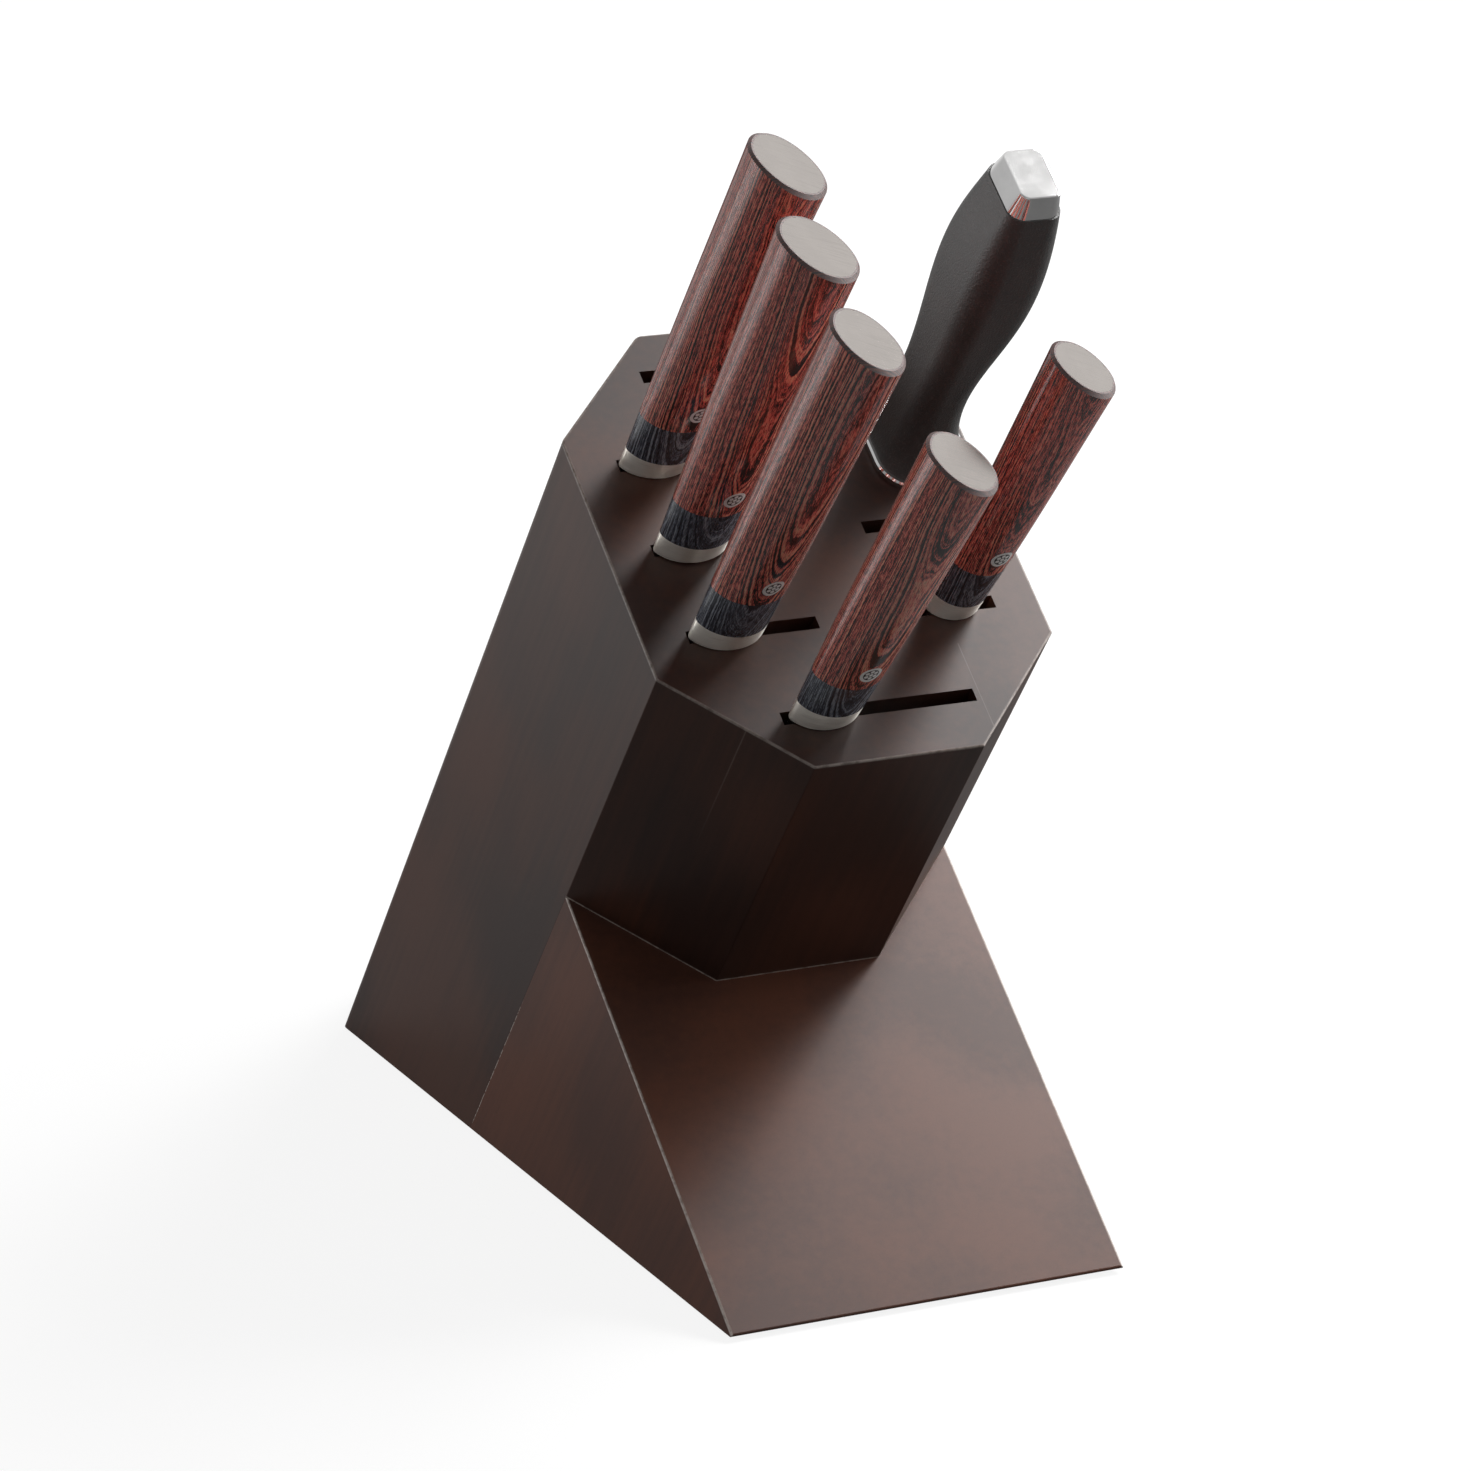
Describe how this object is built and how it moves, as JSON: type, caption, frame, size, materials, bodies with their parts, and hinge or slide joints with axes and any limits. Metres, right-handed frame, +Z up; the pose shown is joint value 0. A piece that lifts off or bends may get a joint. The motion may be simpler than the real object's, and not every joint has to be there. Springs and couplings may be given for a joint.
{
  "type": "knife block with knives",
  "caption": "Leaning dark-stained wooden block on a wedge foot, holding kitchen knives with laminated wood handles and a honing steel that pull out along the lean.",
  "frame": {"origin": "on the resting surface, under the middle of the object's outline", "axes": "+X to the right across the block seen from the front, +Y to the back, +Z up"},
  "size_m": [0.12, 0.3886, 0.3226],
  "materials": {
    "stained_wood": "dark espresso stain under satin lacquer",
    "rubber_pad": "matt",
    "blade_steel": "fine satin",
    "satin_steel": "satin",
    "polished_steel": "polished",
    "pin_metal": "polished, with a dark filled core",
    "collar_laminate": "blue-black laminated wood, waxed",
    "grip_laminate": "red and black laminated wood, waxed",
    "black_polymer": "fine moulded texture"
  },
  "bodies": {
    "block": {"back_board": "stained_wood", "second_board": "stained_wood", "second_board_core": "stained_wood", "second_board_edge": "stained_wood", "third_board": "stained_wood", "third_board_core": "stained_wood", "third_board_edge": "stained_wood", "fourth_board": "stained_wood", "fifth_board": "stained_wood", "front_inner_board": "stained_wood", "front_inner_stave": "stained_wood", "front_board": "stained_wood", "spacers_row_1": "stained_wood", "spacers_row_2": "stained_wood", "spacers_row_3": "stained_wood", "spacers_row_4": "stained_wood", "spacers_row_5": "stained_wood", "foot_back_board": "stained_wood", "foot_spacers": "stained_wood", "foot_wedge": "stained_wood", "rubber_feet": "rubber_pad"},
    "bread_knife": {"bread_knife_blade": "blade_steel", "bread_knife_ferrule": "satin_steel", "bread_knife_collar": "collar_laminate", "bread_knife_grip": "grip_laminate", "bread_knife_pin": "pin_metal", "bread_knife_end_cap": "satin_steel"},
    "carving_knife": {"carving_knife_blade": "blade_steel", "carving_knife_ferrule": "satin_steel", "carving_knife_collar": "collar_laminate", "carving_knife_grip": "grip_laminate", "carving_knife_pin": "pin_metal", "carving_knife_end_cap": "satin_steel"},
    "chef_knife": {"chef_knife_blade": "blade_steel", "chef_knife_ferrule": "satin_steel", "chef_knife_collar": "collar_laminate", "chef_knife_grip": "grip_laminate", "chef_knife_pin": "pin_metal", "chef_knife_end_cap": "satin_steel"},
    "santoku_knife": {"santoku_knife_blade": "blade_steel", "santoku_knife_ferrule": "satin_steel", "santoku_knife_collar": "collar_laminate", "santoku_knife_grip": "grip_laminate", "santoku_knife_pin": "pin_metal", "santoku_knife_end_cap": "satin_steel"},
    "paring_knife": {"paring_knife_blade": "blade_steel", "paring_knife_ferrule": "satin_steel", "paring_knife_collar": "collar_laminate", "paring_knife_grip": "grip_laminate", "paring_knife_pin": "pin_metal", "paring_knife_end_cap": "satin_steel"},
    "honing_steel": {"honing_rod": "blade_steel", "honing_guard": "polished_steel", "honing_handle": "black_polymer", "honing_end_cap": "polished_steel"}
  },
  "joints": [
    {"name": "bread_knife_draw", "type": "slide", "parent": "block", "child": "bread_knife", "axis": [0, -0.6428, 0.766], "range_m": [0, 0.275]},
    {"name": "carving_knife_draw", "type": "slide", "parent": "block", "child": "carving_knife", "axis": [0, -0.6428, 0.766], "range_m": [0, 0.25]},
    {"name": "chef_knife_draw", "type": "slide", "parent": "block", "child": "chef_knife", "axis": [0, -0.6428, 0.766], "range_m": [0, 0.225]},
    {"name": "santoku_knife_draw", "type": "slide", "parent": "block", "child": "santoku_knife", "axis": [0, -0.6428, 0.766], "range_m": [0, 0.16]},
    {"name": "paring_knife_draw", "type": "slide", "parent": "block", "child": "paring_knife", "axis": [0, -0.6428, 0.766], "range_m": [0, 0.11]},
    {"name": "honing_steel_draw", "type": "slide", "parent": "block", "child": "honing_steel", "axis": [0, -0.6428, 0.766], "range_m": [0, 0.255]}
  ]
}
